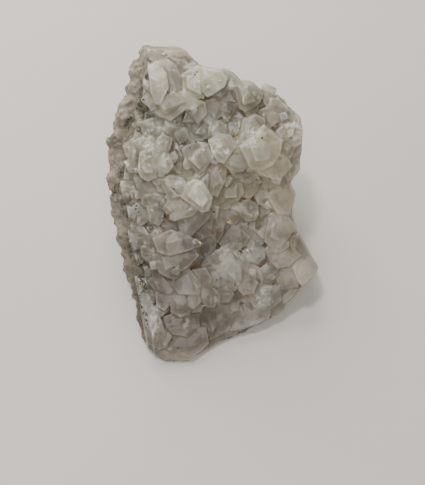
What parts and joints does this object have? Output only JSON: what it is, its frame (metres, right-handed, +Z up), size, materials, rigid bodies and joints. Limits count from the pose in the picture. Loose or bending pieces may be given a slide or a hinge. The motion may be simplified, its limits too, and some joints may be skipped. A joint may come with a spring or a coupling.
{
  "type": "rough apophyllite specimen",
  "caption": "Rough mineral specimen: blocky, translucent apophyllite crystals crowded together on a knobbly crust of chalcedony, resting on its flat underside.",
  "frame": {"origin": "middle of the bounding box, on the table that the specimen rests on", "axes": "+Z up; +Y away from the viewer, up the sloping face of crystals; +X to the right of that face"},
  "size_m": [0.062, 0.0822, 0.048],
  "materials": {
    "apophyllite": "translucent, vitreous crystal faces",
    "chalcedony": "dull, knobbly"
  },
  "bodies": {
    "root": {"apophyllite_crystals": "apophyllite", "chalcedony_crust": "chalcedony"}
  },
  "joints": []
}
